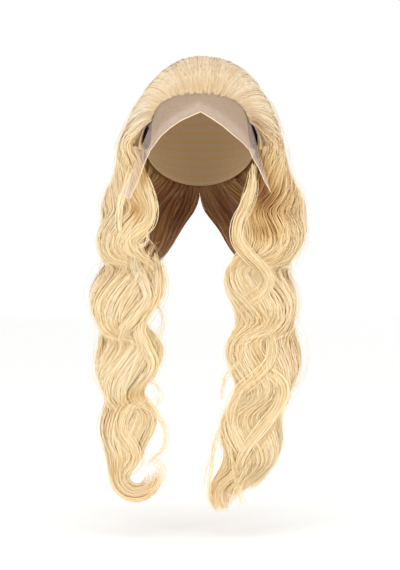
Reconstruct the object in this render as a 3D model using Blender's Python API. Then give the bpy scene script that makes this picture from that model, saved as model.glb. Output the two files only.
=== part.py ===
"""A long wavy lace front wig, worn, with its hair brought forward over both shoulders.

Metres, +Z up. The front of the wig faces -Y and its right side, as seen from the front, lies at +X.
The origin is the top of the head, where the inside of the cap sits. Every piece is worked out from
the head form below, so that cap, lace and hair lie on each other in layers.

A strand of hair is found by three numbers: its side (-1 or 1), its share of the way round the head
(0 at the temple, 1 at the back), and how far it has run from its root to its tip.
"""

import math
from bisect import bisect_right
from collections import namedtuple

import bmesh
import bpy
import numpy as np
from mathutils import Vector

# Head form
HEAD_HALF_WIDTH = 0.074
HEAD_HALF_LENGTH = 0.092
CROWN_HEIGHT = 0.095
JAW_DEPTH = 0.110
HEAD_FULLNESS = 2.1

# Layers on the head, from the skin outwards
CAP_EASE = 0.0004
CAP_WALL = 0.0015
LACE_WALL = 0.0010
LAYER_GAP = 0.0007
HAIR_EASE = 0.0009
PIECE_GAP = 0.0003

# Cap, as angles about the line from ear to ear
CAP_FRONT_ANGLE = math.radians(68)
CAP_NAPE_ANGLE = math.radians(215)
CAP_SIDE_ANGLE = math.radians(78)
CAP_ROWS = 16
CAP_COLUMNS = 22

# Lace front
LACE_SEAM_OVERLAP = math.radians(7)
LACE_SIDE_ANGLE = math.radians(74)
LACE_TAIL_FORWARD = 0.060
LACE_TAIL_DROP = 0.180
LACE_HIDDEN_ROWS = 5
LACE_SHOWN_ROWS = 4
LACE_COLUMNS_BETWEEN = 2

# Ear tabs
EAR_TAB_TOP = 0.67 * CROWN_HEIGHT
EAR_TAB_HEIGHT = 0.050
EAR_TAB_ROWS_UP = 5
EAR_TAB_COLUMNS = 6

# Hair over the head
HAIR_AT_EARS = 0.028
HAIR_AT_ROOT = 0.0022
ROOT_RISE = 0.045
SWEEP_PULL = 1.2
SIDE_BLEND = 0.4
BACK_BLEND = (0.1, 0.9)
CROWN_LOCKS = 7
CROWN_GROOVE = 0.0022
GROOVE_FULL_AT = 0.3
CROWN_COLUMNS = 48
CROWN_ROWS = 15
PATH_SAMPLES = 48

# Long hair below the ears
HAIR_DROP = 0.571
SPREAD = 0.130
FRONT_REACH = 0.100
BACK_REACH = 0.100
LOCK_DEPTH = 0.026
LOCK_ROUNDNESS = 2.5
LOCK_SIDES = 10
LOCK_RINGS = 35
SHARE_STEP = 0.02
TIP_SHARE = 0.12
TIP_WIDTH = 0.80
TIP_DEPTH = 0.55

# Waves in the long hair
WAVE_LENGTH = 0.090
WAVE_CREST = 0.283
WAVE_SIDEWAYS = 0.011
WAVE_FORWARD = 0.007
WAVE_BEGINS = 0.150
WAVE_FULL = 0.235

# The curl that ends the hair on the left
CURL_DROP = 0.523
CURL_CENTRE = 0.079
CURL_TURN_RADIUS = 0.024

# Colours and how rough each surface is
BLOND = (0.86, 0.68, 0.38)
HAIR_ROUGHNESS = 0.45
LACE_TINT = (0.80, 0.66, 0.58)
LACE_ROUGHNESS = 0.70
NET_TINT = (0.72, 0.58, 0.42)
NET_ROUGHNESS = 0.80
TAB_TINT = (0.16, 0.12, 0.13)
TAB_ROUGHNESS = 0.85

# How hair runs over one side of the head, by the share of the way round.
# root_x and root_drop follow the hairline, as shares of the head's half width and of the crown's height.
# over_turn and over_rise aim the middle of the run and gate_turn its end, in degrees, turned from the
# front. gate_drop is where the run ends, as a share of the crown's height below the top.
Sweep = namedtuple("Sweep", "share root_x root_drop over_turn over_rise gate_turn gate_drop")
SWEEPS = (
    Sweep(0.00, 0.87, 0.88, 60, 4, 60, 1.19),
    Sweep(0.20, 0.79, 0.72, 70, 22, 80, 1.17),
    Sweep(0.40, 0.67, 0.61, 82, 37, 104, 1.22),
    Sweep(0.60, 0.48, 0.54, 96, 52, 133, 1.34),
    Sweep(0.80, 0.25, 0.50, 125, 68, 158, 1.50),
    Sweep(1.00, 0.00, 0.49, 180, 89, 180, 1.58),
)

# Depth of the hair over the head, as shares of HAIR_AT_EARS, by the drop below the top as a share of
# the crown's height.
HairDepth = namedtuple("HairDepth", "drop left right back")
HAIR_DEPTHS = (
    HairDepth(0.00, 0.16, 0.20, 0.20),
    HairDepth(0.15, 0.14, 0.34, 0.24),
    HairDepth(0.30, 0.16, 0.44, 0.26),
    HairDepth(0.50, 0.26, 0.54, 0.30),
    HairDepth(0.77, 0.52, 0.80, 0.40),
    HairDepth(1.04, 0.86, 1.02, 0.52),
    HairDepth(1.30, 1.24, 1.34, 0.66),
    HairDepth(1.60, 1.26, 1.34, 0.80),
)

# Plan of the long hair at one level. drop is a share of HAIR_DROP. The other columns are four points
# round the sheaf of locks: its front edge by the face, its outside, its rear and its back edge.
# x is a share of SPREAD, y of FRONT_REACH in front of the ears and of BACK_REACH behind them, and
# depth of LOCK_DEPTH.
Plan = namedtuple("Plan", "drop front_x front_y outer_x outer_y rear_x rear_y back_x back_y depth")
RIGHT_PLANS = (
    Plan(0.310, 0.52, -0.50, 0.80, -0.33, 0.91, 0.40, 0.030, 1.03, 0.96),
    Plan(0.378, 0.41, -0.58, 0.71, -0.50, 0.87, 0.04, 0.220, 0.92, 1.00),
    Plan(0.438, 0.33, -0.64, 0.64, -0.66, 0.84, -0.16, 0.470, 0.74, 1.00),
    Plan(0.508, 0.29, -0.74, 0.56, -0.84, 0.77, -0.50, 0.740, 0.32, 0.96),
    Plan(0.578, 0.32, -0.80, 0.57, -0.91, 0.79, -0.74, 0.860, -0.06, 0.92),
    Plan(0.651, 0.32, -0.84, 0.53, -0.94, 0.79, -0.84, 0.880, -0.42, 0.90),
    Plan(0.727, 0.31, -0.85, 0.49, -0.94, 0.73, -0.86, 0.810, -0.50, 0.84),
    Plan(0.811, 0.27, -0.85, 0.44, -0.93, 0.63, -0.88, 0.700, -0.58, 0.80),
    Plan(0.893, 0.18, -0.84, 0.37, -0.92, 0.59, -0.87, 0.680, -0.62, 0.72),
    Plan(0.946, 0.13, -0.82, 0.29, -0.89, 0.46, -0.86, 0.550, -0.72, 0.60),
    Plan(1.000, 0.19, -0.80, 0.26, -0.84, 0.33, -0.84, 0.390, -0.80, 0.48),
)
LEFT_PLANS = (
    Plan(0.310, 0.49, -0.50, 0.74, -0.33, 0.86, 0.40, 0.030, 1.03, 0.92),
    Plan(0.378, 0.50, -0.56, 0.72, -0.44, 0.80, 0.10, 0.220, 0.92, 0.94),
    Plan(0.438, 0.47, -0.64, 0.73, -0.60, 0.89, -0.10, 0.470, 0.74, 0.94),
    Plan(0.508, 0.44, -0.74, 0.69, -0.82, 0.92, -0.46, 0.790, 0.34, 0.94),
    Plan(0.578, 0.46, -0.80, 0.69, -0.91, 0.90, -0.70, 0.890, -0.04, 0.90),
    Plan(0.651, 0.45, -0.84, 0.66, -0.94, 0.86, -0.80, 0.880, -0.38, 0.88),
    Plan(0.727, 0.47, -0.85, 0.64, -0.94, 0.82, -0.84, 0.850, -0.50, 0.82),
    Plan(0.811, 0.49, -0.85, 0.65, -0.93, 0.82, -0.85, 0.870, -0.58, 0.76),
    Plan(0.875, 0.57, -0.83, 0.67, -0.89, 0.77, -0.89, 0.860, -0.78, 0.60),
    Plan(0.916, 0.68, -0.82, 0.74, -0.85, 0.80, -0.87, 0.860, -0.86, 0.50),
    Plan(1.100, 0.68, -0.82, 0.74, -0.85, 0.80, -0.87, 0.860, -0.88, 0.46),
)

# Where the tips end, by the share of the way round, as shares of HAIR_DROP.
Tip = namedtuple("Tip", "share left right")
TIPS = (
    Tip(0.00, 1.052, 1.000),
    Tip(0.35, 1.082, 0.995),
    Tip(0.60, 1.090, 0.972),
    Tip(1.00, 1.072, 0.935),
)

# Waves across the sheaf. swing moves outwards at each crest and lag a quarter wave later, both as
# shares of WAVE_SIDEWAYS. push is the share of WAVE_FORWARD.
Wave = namedtuple("Wave", "share left_swing right_swing lag push")
WAVES = (
    Wave(0.00, -0.90, -0.45, 0.10, 0.60),
    Wave(0.25, -1.00, -0.90, 0.30, 1.00),
    Wave(0.50, -0.50, -0.50, 0.50, 1.00),
    Wave(0.75, 0.20, 0.15, 0.40, 0.80),
    Wave(1.00, 0.40, 0.30, 0.20, 0.50),
)

# The locks of one side, each between two shares of the way round
Lock = namedtuple("Lock", "name start end")
LOCKS = (
    Lock("front_lock", 0.00, 0.24),
    Lock("outer_lock", 0.24, 0.50),
    Lock("rear_lock", 0.50, 0.76),
    Lock("nape_lock", 0.76, 1.00),
)

# The lace's columns from the left temple to the right. seam is the share of the way from the middle of
# the seam to its side. root is where the lace leaves the hair and edge its cut lower edge: x as shares
# of the head's half width, drop of the crown's height on the head and of LACE_TAIL_DROP on a tail.
# loose is 0 where the edge lies on the head and 1 where it hangs free.
LaceColumn = namedtuple("LaceColumn", "seam root_x root_drop edge_x edge_drop loose")
LACE_COLUMNS = (
    LaceColumn(-1.00, -0.86, 0.93, -1.33, 0.95, 1),
    LaceColumn(-0.93, -0.83, 0.88, -1.20, 1.00, 1),
    LaceColumn(-0.86, -0.80, 0.83, -1.04, 0.86, 1),
    LaceColumn(-0.78, -0.78, 0.78, -0.94, 0.74, 1),
    LaceColumn(-0.68, -0.75, 0.72, -0.84, 0.65, 1),
    LaceColumn(-0.52, -0.66, 0.62, -0.65, 1.06, 0),
    LaceColumn(-0.36, -0.50, 0.54, -0.50, 0.97, 0),
    LaceColumn(-0.20, -0.28, 0.49, -0.34, 0.89, 0),
    LaceColumn(0.00, 0.00, 0.48, 0.01, 0.77, 0),
    LaceColumn(0.18, 0.25, 0.49, 0.20, 0.86, 0),
    LaceColumn(0.34, 0.47, 0.53, 0.38, 0.95, 0),
    LaceColumn(0.48, 0.64, 0.60, 0.56, 1.06, 0),
    LaceColumn(0.62, 0.75, 0.69, 0.73, 1.15, 0),
    LaceColumn(0.74, 0.800, 0.76, 0.84, 0.65, 1),
    LaceColumn(0.84, 0.825, 0.80, 0.90, 0.71, 1),
    LaceColumn(0.91, 0.845, 0.84, 0.99, 0.77, 1),
    LaceColumn(0.96, 0.860, 0.87, 1.10, 0.87, 1),
    LaceColumn(1.00, 0.875, 0.90, 1.21, 0.95, 1),
)

# The ear tabs' front and back edges, turned from the front, in degrees, by the share of their height
TabRow = namedtuple("TabRow", "share front_turn back_turn")
EAR_TAB_ROWS = (
    TabRow(0.00, 43, 74),
    TabRow(0.35, 47, 81),
    TabRow(0.60, 48, 82),
    TabRow(0.85, 50, 80),
    TabRow(1.00, 53, 74),
)


def smooth_at(keys, values, at):
    """Value at one key, on a smooth curve through the values at the given keys."""
    at = min(max(at, keys[0]), keys[-1])
    i = min(max(bisect_right(keys, at) - 1, 0), len(keys) - 2)
    span = keys[i + 1] - keys[i]
    t = (at - keys[i]) / span
    start_slope = slope_at(keys, values, i) * span
    end_slope = slope_at(keys, values, i + 1) * span
    bend = t * t * (3 - 2 * t)
    start = values[i] * (1 - bend) + start_slope * (t * (1 - t) ** 2)
    return start + values[i + 1] * bend - end_slope * (t * t * (1 - t))


def slope_at(keys, values, i):
    """Slope of the smooth curve at one of its keys."""
    low = max(i - 1, 0)
    high = min(i + 1, len(keys) - 1)
    return (values[high] - values[low]) / (keys[high] - keys[low])


def table_at(rows, at, *columns):
    """The named columns of a table, each on a smooth curve through its rows, as an array."""
    keys = [row[0] for row in rows]
    values = [np.array([getattr(row, column) for column in columns], float) for row in rows]
    return smooth_at(keys, values, at)


def smooth_step(start, end, value):
    """0 before start and 1 after end, with a soft change between them."""
    t = min(max((value - start) / (end - start), 0.0), 1.0)
    return t * t * (3 - 2 * t)


def aim(turn, rise):
    """Unit vector turned from the front about the vertical and raised from the level."""
    level = math.cos(rise)
    return np.array((math.sin(turn) * level, -math.cos(turn) * level, math.sin(rise)))


def unit(vector):
    """The vector at a length of 1."""
    return vector / np.linalg.norm(vector)


def head_axes(offset):
    """Half sizes of the head form, grown by an offset: across, along, up and down."""
    sizes = (HEAD_HALF_WIDTH, HEAD_HALF_LENGTH, CROWN_HEIGHT, JAW_DEPTH)
    return [size + offset for size in sizes]


def on_head(direction, offset):
    """Where a direction from the middle of the head meets the layer at an offset from the skin."""
    across, along, up, down = head_axes(offset)
    tall = up if direction[2] >= 0 else down
    shares = np.abs(direction / np.array((across, along, tall))) ** HEAD_FULLNESS
    reach = shares.sum() ** (-1 / HEAD_FULLNESS)
    return direction * reach + np.array((0, 0, -CROWN_HEIGHT))


def face_depth(x, z, offset):
    """How far in front of the ears a layer of the face lies at x and z, or 0 beside the head."""
    across, along, up, down = head_axes(offset)
    level = z + CROWN_HEIGHT
    tall = up if level >= 0 else down
    rest = 1 - abs(x / across) ** HEAD_FULLNESS - abs(level / tall) ** HEAD_FULLNESS
    return along * max(rest, 0.0) ** (1 / HEAD_FULLNESS)


def face_direction(x, z, offset):
    """Direction from the middle of the head to a place on its front."""
    return unit(np.array((x, -face_depth(x, z, offset), z + CROWN_HEIGHT)))


def lune_direction(over, across):
    """Direction by two angles: over the head from the front, and across it from the middle."""
    level = math.cos(across)
    return np.array((math.sin(across), -level * math.cos(over), level * math.sin(over)))


def lace_base():
    """Offset of the lace's inside from the skin."""
    return CAP_EASE + CAP_WALL + LAYER_GAP


def hair_base():
    """Offset of the inside of the crown's hair from the skin."""
    return lace_base() + LACE_WALL + HAIR_EASE


def sweep_direction(side, share, run):
    """Direction under a strand of the crown, run from 0 at its root to 1 at the gate."""
    row = table_at(SWEEPS, share, *Sweep._fields[1:])
    root_x, root_drop, over_turn, over_rise, gate_turn, gate_drop = row
    root = face_direction(root_x * HEAD_HALF_WIDTH, -root_drop * CROWN_HEIGHT, hair_base())
    over = aim(math.radians(over_turn), math.radians(over_rise))
    gate = aim(math.radians(gate_turn), 0)
    gate[2] = (1 - gate_drop) * CROWN_HEIGHT / HEAD_HALF_LENGTH
    over *= 2 * SWEEP_PULL * run * (1 - run)
    path = root * (1 - run) ** 2 + over + unit(gate) * run**2
    return unit(path) * np.array((side, 1, 1))


def hair_depth(direction, root_distance):
    """Depth of the crown's hair over a place on the head, thin at the hairline."""
    drop = -on_head(direction, 0)[2] / CROWN_HEIGHT
    left, right, back = table_at(HAIR_DEPTHS, drop, "left", "right", "back")
    to_right = smooth_step(-SIDE_BLEND, SIDE_BLEND, direction[0])
    to_back = smooth_step(*BACK_BLEND, direction[1])
    beside = left + (right - left) * to_right
    full = HAIR_AT_EARS * (beside + (back - beside) * to_back)
    return HAIR_AT_ROOT + (full - HAIR_AT_ROOT) * smooth_step(0, ROOT_RISE, root_distance)


def crown_point(side, share, run, rise):
    """A place in the crown's hair, rise from 0 at its base to 1 at its surface."""
    direction = sweep_direction(side, share, run)
    base = on_head(direction, hair_base())
    root = on_head(sweep_direction(side, share, 0), hair_base())
    outwards = unit(np.array((direction[0], direction[1], max(direction[2], 0.0))))
    depth = hair_depth(direction, np.linalg.norm(base - root))
    groove = abs(math.cos(math.pi * CROWN_LOCKS * (1 - share)))
    depth -= min(CROWN_GROOVE, depth / 2) * groove * smooth_step(0, GROOVE_FULL_AT, run)
    return base + outwards * depth * rise


def even_runs(side, share, rows):
    """Runs that cut a strand's path over the head into rows of equal length."""
    runs = np.linspace(0, 1, PATH_SAMPLES)
    path = np.array([on_head(sweep_direction(side, share, run), hair_base()) for run in runs])
    lengths = np.concatenate(([0], np.cumsum(np.linalg.norm(np.diff(path, axis=0), axis=1))))
    return np.interp(np.linspace(0, lengths[-1], rows + 1), lengths, runs)


def gate_point(side, share):
    """Middle of the hair's depth where it leaves the head."""
    return (crown_point(side, share, 1, 0) + crown_point(side, share, 1, 1)) / 2


def plan_y(share):
    """Distance behind the ears, negative in front of them, from a share of the reach."""
    return share * (FRONT_REACH if share < 0 else BACK_REACH)


def plan_point(plan, side, share):
    """A place on the middle line of the sheaf at the level of one plan."""
    corners = (
        (plan.front_x, plan.front_y),
        (plan.outer_x, plan.outer_y),
        (plan.rear_x, plan.rear_y),
        (plan.back_x, plan.back_y),
    )
    points = [np.array((side * x * SPREAD, plan_y(y), -plan.drop * HAIR_DROP)) for x, y in corners]
    return smooth_at([i / (len(points) - 1) for i in range(len(points))], points, share)


def side_plans(side):
    """The plans of the hair on one side."""
    return RIGHT_PLANS if side > 0 else LEFT_PLANS


def wave_offset(side, share, drop):
    """How far the waves move a strand, sideways and forwards, at a drop below the top."""
    left, right, lag, push = table_at(WAVES, share, "left_swing", "right_swing", "lag", "push")
    swing = right if side > 0 else left
    turn = 2 * math.pi * (drop - WAVE_CREST) / WAVE_LENGTH
    strength = smooth_step(WAVE_BEGINS, WAVE_FULL, drop)
    if side < 0:
        strength *= 1 - smooth_step(CURL_DROP - WAVE_LENGTH, CURL_DROP - WAVE_LENGTH / 4, drop)
    sideways = WAVE_SIDEWAYS * (swing * math.cos(turn) + lag * math.sin(turn))
    forwards = WAVE_FORWARD * push * math.sin(turn)
    return np.array((side * sideways, -forwards, 0)) * strength


def sheaf_point(side, share, drop):
    """A place on the middle line of the long hair, before the curl."""
    plans = side_plans(side)
    gate = gate_point(side, share)
    keys = [-gate[2]] + [plan.drop * HAIR_DROP for plan in plans]
    points = [gate] + [plan_point(plan, side, share) for plan in plans]
    return smooth_at(keys, points, drop) + wave_offset(side, share, drop)


def sheaf_depth(side, share, drop):
    """Depth of the long hair at a drop below the top."""
    plans = side_plans(side)
    gate = np.linalg.norm(crown_point(side, share, 1, 1) - crown_point(side, share, 1, 0))
    keys = [-gate_point(side, share)[2]] + [plan.drop * HAIR_DROP for plan in plans]
    return smooth_at(keys, [gate] + [plan.depth * LOCK_DEPTH for plan in plans], drop)


def curled(side, point):
    """The point rolled into the curl, where the hair on the left runs past its level."""
    past = -point[2] - CURL_DROP
    if side > 0 or past <= 0:
        return point
    turn = past / CURL_TURN_RADIUS
    radius = side * point[0] - CURL_CENTRE
    x = CURL_CENTRE + radius * math.cos(turn)
    return np.array((side * x, point[1], -CURL_DROP - radius * math.sin(turn)))


def lock_ring(side, lock, run):
    """One closed ring of points round a lock, run from 0 at the gate to 1 at the tip."""
    middle = (lock.start + lock.end) / 2
    tip = smooth_step(1 - TIP_SHARE, 1, run)
    half_share = (lock.end - lock.start) / 2
    top = -gate_point(side, middle)[2] + LAYER_GAP
    end = table_at(TIPS, middle, "right" if side > 0 else "left")[0] * HAIR_DROP
    level = top + (end - top) * run
    width = np.linalg.norm(sheaf_point(side, lock.end, level) - sheaf_point(side, lock.start, level))
    half_share *= 1 - PIECE_GAP / width
    ring = []
    for i in range(LOCK_SIDES):
        turn = 2 * math.pi * i / LOCK_SIDES
        across = rounded(math.cos(turn)) * (1 - (1 - TIP_WIDTH) * tip)
        through = rounded(math.sin(turn)) * (1 - (1 - TIP_DEPTH) * tip)
        share = middle + half_share * across
        gate_drop = -gate_point(side, share)[2] + LAYER_GAP
        tip_drop = table_at(TIPS, share, "right" if side > 0 else "left")[0] * HAIR_DROP
        drop = gate_drop + (tip_drop - gate_drop) * run
        ends = [sheaf_point(side, share + step, drop) for step in (SHARE_STEP, -SHARE_STEP)]
        along = ends[0] - ends[1]
        normal = unit(np.array((along[1], -along[0], 0))) * side
        point = sheaf_point(side, share, drop) + normal * (sheaf_depth(side, share, drop) / 2 * through)
        ring.append(curled(side, point))
    return ring


def rounded(value):
    """One coordinate of a rounded square from that of a circle."""
    return math.copysign(abs(value) ** (2 / LOCK_ROUNDNESS), value)


def make_material(name, colour, roughness):
    """A plain cloth or hair finish."""
    material = bpy.data.materials.new(name)
    material.use_nodes = True
    shader = material.node_tree.nodes["Principled BSDF"]
    shader.inputs["Base Color"].default_value = (*colour, 1)
    shader.inputs["Roughness"].default_value = roughness
    shader.inputs["Metallic"].default_value = 0
    return material


def add_object(name, mesh_maker, material):
    """One named object from a bmesh, with its faces turned outwards."""
    shape = bmesh.new()
    mesh_maker(shape)
    bmesh.ops.recalc_face_normals(shape, faces=shape.faces)
    mesh = bpy.data.meshes.new(name)
    shape.to_mesh(mesh)
    shape.free()
    mesh.shade_smooth()
    mesh.materials.append(material)
    made = bpy.data.objects.new(name, mesh)
    bpy.context.scene.collection.objects.link(made)
    return made


def add_grid_faces(shape, rows):
    """Two triangles for each cell of a grid of vertices."""
    for upper, lower in zip(rows, rows[1:]):
        for i in range(len(upper) - 1):
            shape.faces.new((upper[i], upper[i + 1], lower[i + 1]))
            shape.faces.new((upper[i], lower[i + 1], lower[i]))


def shell_maker(outer, inner):
    """Maker of one closed wall from two grids of points, joined round their rims."""

    def make(shape):
        skins = []
        for grid in (outer, inner):
            skins.append([[shape.verts.new(Vector(point)) for point in row] for row in grid])
            add_grid_faces(shape, skins[-1])
        rims = [rim_of(skin) for skin in skins]
        add_grid_faces(shape, rims)

    return make


def rim_of(skin):
    """The vertices round the edge of a grid, in order, back to the first."""
    down = [row[-1] for row in skin[1:-1]]
    up = [row[0] for row in skin[-2:0:-1]]
    return [*skin[0], *down, *reversed(skin[-1]), *up, skin[0][0]]


def lock_maker(rings):
    """Maker of one closed lock through its rings, each end closed by strips from front to back."""

    def make(shape):
        loops = [[shape.verts.new(Vector(point)) for point in ring] for ring in rings]
        add_grid_faces(shape, [[*loop, loop[0]] for loop in loops])
        half = LOCK_SIDES // 2
        for loop in (loops[0], loops[-1]):
            behind = [loop[-i] for i in range(1, half)]
            shape.faces.new((loop[0], loop[1], behind[0]))
            add_grid_faces(shape, [loop[1:half], behind])
            shape.faces.new((loop[half], loop[half - 1], behind[-1]))

    return make


def make_cap(material):
    """The net cap: a wall over the head from the lace's seam to the nape, between the ears."""
    skins = []
    for offset in (CAP_EASE + CAP_WALL, CAP_EASE):
        skin = []
        for i in range(CAP_ROWS + 1):
            over = CAP_FRONT_ANGLE + (CAP_NAPE_ANGLE - CAP_FRONT_ANGLE) * i / CAP_ROWS
            angles = [CAP_SIDE_ANGLE * (2 * j / CAP_COLUMNS - 1) for j in range(CAP_COLUMNS + 1)]
            skin.append([on_head(lune_direction(over, across), offset) for across in angles])
        skins.append(skin)
    return add_object("cap", shell_maker(*skins), material)


def lace_column(seam, root_x, root_drop, edge_x, edge_y, edge_z, offset):
    """Points of the lace down one column, from the seam under the hair to its cut edge."""
    over = CAP_FRONT_ANGLE + LACE_SEAM_OVERLAP
    start = lune_direction(over, seam * LACE_SIDE_ANGLE)
    root_x *= HEAD_HALF_WIDTH
    root_z = -root_drop * CROWN_HEIGHT
    middle = face_direction(root_x, root_z, offset)
    points = []
    for i in range(LACE_HIDDEN_ROWS):
        t = i / LACE_HIDDEN_ROWS
        points.append(on_head(unit(start * (1 - t) + middle * t), offset))
    root = on_head(middle, offset)
    edge = np.array((edge_x, edge_y - offset + lace_base(), edge_z))
    for i in range(LACE_SHOWN_ROWS + 1):
        x, y, z = root + (edge - root) * (i / LACE_SHOWN_ROWS)
        points.append(np.array((x, min(y, -face_depth(x, z, offset)), z)))
    return points


def make_lace_front(material):
    """The lace sheet, with its pointed lower edge and a loose tail at each temple."""
    columns = []
    for row, after in zip(LACE_COLUMNS, LACE_COLUMNS[1:]):
        for i in range(LACE_COLUMNS_BETWEEN):
            columns.append(blend_columns(row, after, i / LACE_COLUMNS_BETWEEN))
    columns.append(blend_columns(LACE_COLUMNS[-1], LACE_COLUMNS[-1], 0))
    skins = []
    for offset in (lace_base() + LACE_WALL, lace_base()):
        skins.append([lace_column(*column, offset) for column in columns])
    return add_object("lace_front", shell_maker(*skins), material)


def blend_columns(row, after, share):
    """Seam, root and edge between two of the lace's columns, in metres for the edge."""
    ends = []
    for column in (row, after):
        length = LACE_TAIL_DROP if column.loose else CROWN_HEIGHT
        edge = (column.edge_x * HEAD_HALF_WIDTH, -LACE_TAIL_FORWARD * column.loose)
        ends.append(np.array((*column[:3], *edge, -column.edge_drop * length)))
    return ends[0] + (ends[1] - ends[0]) * share


def make_ear_tab(side, material):
    """A cloth tab on the temple, between the cap and the front of the ear."""
    skins = []
    for offset in (CAP_EASE + CAP_WALL, CAP_EASE):
        skin = []
        for i in range(EAR_TAB_ROWS_UP + 1):
            share = i / EAR_TAB_ROWS_UP
            front, back = np.radians(table_at(EAR_TAB_ROWS, share, "front_turn", "back_turn"))
            z = -EAR_TAB_TOP - EAR_TAB_HEIGHT * share
            turns = [front + (back - front) * j / EAR_TAB_COLUMNS for j in range(EAR_TAB_COLUMNS + 1)]
            skin.append([level_point(side, turn, z, offset) for turn in turns])
        skins.append(skin)
    name = "right_ear_tab" if side > 0 else "left_ear_tab"
    return add_object(name, shell_maker(*skins), material)


def level_point(side, turn, z, offset):
    """A place on a layer of the head at one level, turned from the front."""
    across, along, up, down = head_axes(offset)
    level = z + CROWN_HEIGHT
    tall = up if level >= 0 else down
    rest = 1 - abs(level / tall) ** HEAD_FULLNESS
    direction = np.array((math.sin(turn), -math.cos(turn)))
    shares = np.abs(direction / np.array((across, along))) ** HEAD_FULLNESS
    reach = (rest / shares.sum()) ** (1 / HEAD_FULLNESS)
    return np.array((side * direction[0] * reach, direction[1] * reach, z))


def make_crown_hair(material):
    """The hair on the head, with shallow grooves between its locks."""
    skins = []
    for rise in (1, 0):
        skin = []
        for i in range(CROWN_COLUMNS + 1):
            round_head = 2 * i / CROWN_COLUMNS - 1
            side = 1 if round_head > 0 else -1
            share = 1 - abs(round_head)
            runs = even_runs(side, share, CROWN_ROWS)
            skin.append([crown_point(side, share, run, rise) for run in runs])
        skins.append(skin)
    return add_object("crown_hair", shell_maker(*skins), material)


def make_lock(side, lock, material):
    """One long wavy lock, from the gate to its tip."""
    rings = [lock_ring(side, lock, i / (LOCK_RINGS - 1)) for i in range(LOCK_RINGS)]
    name = ("right_" if side > 0 else "left_") + lock.name
    return add_object(name, lock_maker(rings), material)


def main():
    for old in list(bpy.data.objects):
        bpy.data.objects.remove(old)
    hair = make_material("blond_hair", BLOND, HAIR_ROUGHNESS)
    make_cap(make_material("cap_net", NET_TINT, NET_ROUGHNESS))
    make_lace_front(make_material("lace", LACE_TINT, LACE_ROUGHNESS))
    tab = make_material("tab_cloth", TAB_TINT, TAB_ROUGHNESS)
    make_crown_hair(hair)
    for side in (-1, 1):
        make_ear_tab(side, tab)
        for lock in LOCKS:
            make_lock(side, lock, hair)


main()
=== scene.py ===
"""The looks of a long wavy lace front wig: hair, lace net, cap and ear tabs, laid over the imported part.

Metres, +Z up, the front faces -Y. The hair follows the same paths over the head and down both sides as
the part's solids: a strand has a side (-1 or 1), a share of the way round the head (0 at the temple, 1 at
the back), a rise through the depth of the hair (0 inside, 1 outside) and a run from its root to its tip.
"""

import math
from collections import namedtuple

import bpy
import numpy as np
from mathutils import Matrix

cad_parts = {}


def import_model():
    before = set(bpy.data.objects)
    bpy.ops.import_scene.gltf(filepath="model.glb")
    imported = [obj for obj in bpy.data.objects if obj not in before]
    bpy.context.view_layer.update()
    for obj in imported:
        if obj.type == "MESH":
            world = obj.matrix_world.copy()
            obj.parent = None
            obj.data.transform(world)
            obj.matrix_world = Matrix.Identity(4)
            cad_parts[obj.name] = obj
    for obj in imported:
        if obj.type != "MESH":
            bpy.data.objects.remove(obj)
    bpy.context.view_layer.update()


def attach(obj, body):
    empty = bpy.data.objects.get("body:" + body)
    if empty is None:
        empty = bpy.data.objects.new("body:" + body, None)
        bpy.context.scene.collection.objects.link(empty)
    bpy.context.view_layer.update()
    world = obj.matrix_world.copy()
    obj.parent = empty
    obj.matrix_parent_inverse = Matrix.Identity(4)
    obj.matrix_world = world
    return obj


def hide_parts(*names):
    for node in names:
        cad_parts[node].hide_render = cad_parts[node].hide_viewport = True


SEED = 613
MM = 0.001

# Head form and the layers on it
HEAD_HALF_WIDTH = 0.074
HEAD_HALF_LENGTH = 0.092
CROWN_HEIGHT = 0.095
JAW_DEPTH = 0.110
HEAD_FULLNESS = 2.1
CAP_BASE = 0.0004
CAP_WALL = 0.0015
LACE_BASE = 0.0026
LACE_MIDDLE = 0.0031
HAIR_BASE = 0.0045

# Cap, lace and ear tabs. Angles are in degrees, and a grid is its rows and columns.
CAP_OVER = (68, 215)
CAP_ACROSS = 78
CAP_GRID = (49, 53)
CAP_CELLS = (110, 130)
CAP_WEFTS = 20
SEAM_OVER = 75
SEAM_ACROSS = 74
LACE_HIDDEN_ROWS = 5
LACE_SHOWN_ROWS = 10
LACE_BETWEEN = 5
LACE_CELL = 0.0011
LACE_TAIL_FORWARD = 0.060
LACE_TAIL_DROP = 0.180
EDGE_LINE_OUT = 0.0004
EDGE_LINE_DOWN = 0.0005
EDGE_LINE_SIDES = 6
EDGE_LINE_TONE = 0.96
EAR_TAB_TOP = 0.064
EAR_TAB_HEIGHT = 0.050
EAR_TAB_GRID = (13, 11)

# Hair over the head
HAIR_AT_EARS = 0.028
HAIR_AT_ROOT = 0.0022
ROOT_RISE = 0.045
SWEEP_PULL = 1.2
SIDE_BLEND = 0.4
BACK_BLEND = (0.1, 0.9)

# Long hair below the ears
HAIR_DROP = 0.571
SPREAD = 0.130
FRONT_REACH = 0.100
BACK_REACH = 0.100
LOCK_DEPTH = 0.026
WAVE_LENGTH = 0.090
WAVE_CREST = 0.283
WAVE_SIDEWAYS = 0.011
WAVE_FORWARD = 0.007
WAVE_BEGINS = 0.150
WAVE_FULL = 0.235
CURL_DROP = 0.523
CURL_CENTRE = 0.079
CURL_TURN_RADIUS = 0.024

# How fine the paths are: shares round the head, and steps down the head and below it
SHARES = 41
HEAD_STEPS = 26
FALL_STEPS = 100
LAST_STEP = HEAD_STEPS + FALL_STEPS - 1
PATH_SAMPLES = 60

# Evening out of the bend at the ears and of the outward directions, and how the sides are rounded off
BEND_STEPS = 8
BEND_ROUNDS = 10
NORMAL_ROUNDS = 3
EDGE_FULLNESS = 6
EDGE_POWER = 0.4

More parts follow.
